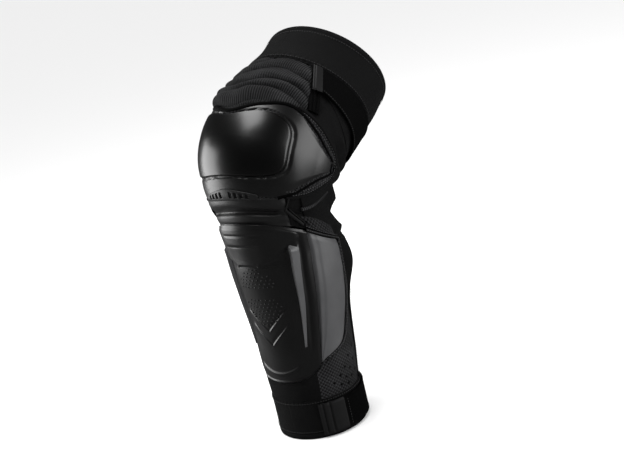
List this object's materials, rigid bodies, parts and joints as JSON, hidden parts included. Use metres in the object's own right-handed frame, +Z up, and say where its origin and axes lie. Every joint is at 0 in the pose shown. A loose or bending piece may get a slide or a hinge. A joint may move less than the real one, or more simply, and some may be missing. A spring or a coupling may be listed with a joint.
{
  "type": "knee guard",
  "caption": "Knee and shin guard: domed knee cup, shin plate with side wings, padded textile sleeve and two strap closures, moulded to a bent knee.",
  "frame": {"origin": "centre of the calf opening at the plane of the calf hem", "axes": "+Z up the shin's centre line, -Y towards the front of the knee, +X towards the outer (lateral) side of the leg; the thigh leans back 55 degrees"},
  "size_m": [0.155, 0.2544, 0.4436],
  "materials": {
    "matte_shell": "satin moulded shell",
    "wing_shell": "satin, slightly lighter side wing",
    "gloss_shell": "polished knee dome",
    "ballistic_weave": "coarse plain weave with stitched edges",
    "ribbed_knit": "fine vertical rib knit",
    "stretch_fabric": "smooth stretch fabric",
    "cuff_fabric": "smooth neoprene-like cuff",
    "mesh_fabric": "perforated mesh",
    "elastic_webbing": "woven elastic strap",
    "strap_tab": "ribbed moulded strap end",
    "foam": "soft closed-cell foam",
    "liner_fabric": "brushed liner",
    "silicone": "silicone grip print",
    "hook_and_loop": "hook and loop pile"
  },
  "bodies": {
    "shin": {"calf_cuff_hem": "cuff_fabric", "calf_cuff_band": "cuff_fabric", "calf_grip_band": "silicone", "calf_loop_patch": "hook_and_loop", "calf_strap_anchor": "elastic_webbing", "shin_shell": "matte_shell", "shin_cap": "matte_shell", "shin_foam_pad": "foam", "shin_liner": "liner_fabric", "shin_ridge_lateral": "wing_shell", "shin_ridge_medial": "wing_shell", "shin_wing_lateral": "wing_shell", "shin_wing_medial": "wing_shell", "wing_foam_pad_lateral": "foam", "wing_foam_pad_medial": "foam", "wing_binding_lateral": "ballistic_weave", "wing_binding_medial": "ballistic_weave", "lower_shin_panel": "stretch_fabric", "mesh_panel_lateral": "mesh_fabric", "mesh_panel_medial": "mesh_fabric", "calf_rear_panel": "stretch_fabric", "knee_bellows": "matte_shell", "knee_gusset_lower": "stretch_fabric"},
    "knee": {"knee_shell": "matte_shell", "knee_dome": "gloss_shell", "knee_carrier": "ballistic_weave", "vent_flange": "matte_shell", "knee_foam_pad": "foam", "knee_liner": "liner_fabric"},
    "thigh": {"knee_gusset_upper": "stretch_fabric", "gather_panel": "ribbed_knit", "gather_tape_lateral": "ballistic_weave", "gather_tape_medial": "ballistic_weave", "thigh_rear_panel": "stretch_fabric", "thigh_cuff_band": "cuff_fabric", "thigh_cuff_hem": "cuff_fabric", "thigh_grip_band": "silicone", "thigh_loop_patch": "hook_and_loop", "thigh_strap_anchor": "elastic_webbing"},
    "calf_strap": {"calf_strap": "elastic_webbing"},
    "calf_tab": {"calf_strap_tab": "strap_tab", "calf_hook_patch": "hook_and_loop"},
    "thigh_strap": {"thigh_strap": "elastic_webbing"},
    "thigh_tab": {"thigh_strap_tab": "strap_tab", "thigh_hook_patch": "hook_and_loop"}
  },
  "joints": [
    {"name": "knee_flex", "type": "hinge", "parent": "shin", "child": "knee", "pos_m": [0, 0.016, 0.272], "axis": [-1, 0, 0], "range_deg": [-17, 22], "deforming": ["knee_bellows", "knee_gusset_lower"]},
    {"name": "thigh_flex", "type": "hinge", "parent": "knee", "child": "thigh", "pos_m": [0, 0.016, 0.272], "axis": [-1, 0, 0], "range_deg": [-13.6, 17.6], "deforming": ["knee_gusset_upper", "gather_panel", "gather_tape_lateral", "gather_tape_medial"]},
    {"name": "calf_strap_swing", "type": "hinge", "parent": "shin", "child": "calf_strap", "pos_m": [-0.00048, 0.055, 0.02325], "axis": [0, 0, 1], "range_deg": [0, 60]},
    {"name": "calf_tab_peel", "type": "hinge", "parent": "calf_strap", "child": "calf_tab", "pos_m": [0.05366, -0.01671, 0.02325], "axis": [0, 0, 1], "range_deg": [0, 90]},
    {"name": "thigh_strap_swing", "type": "hinge", "parent": "thigh", "child": "thigh_strap", "pos_m": [-0.00069, 0.11364, 0.28066], "axis": [0.0002, 0.9096, 0.4156], "range_deg": [0, 60]},
    {"name": "thigh_tab_peel", "type": "hinge", "parent": "thigh_strap", "child": "thigh_tab", "pos_m": [0.06625, 0.05168, 0.38833], "axis": [-0.3088, 0.6474, 0.6968], "range_deg": [0, 90]}
  ],
  "couplings": [
    {"joint": "thigh_flex", "follows": "knee_flex", "ratio": 0.8}
  ]
}
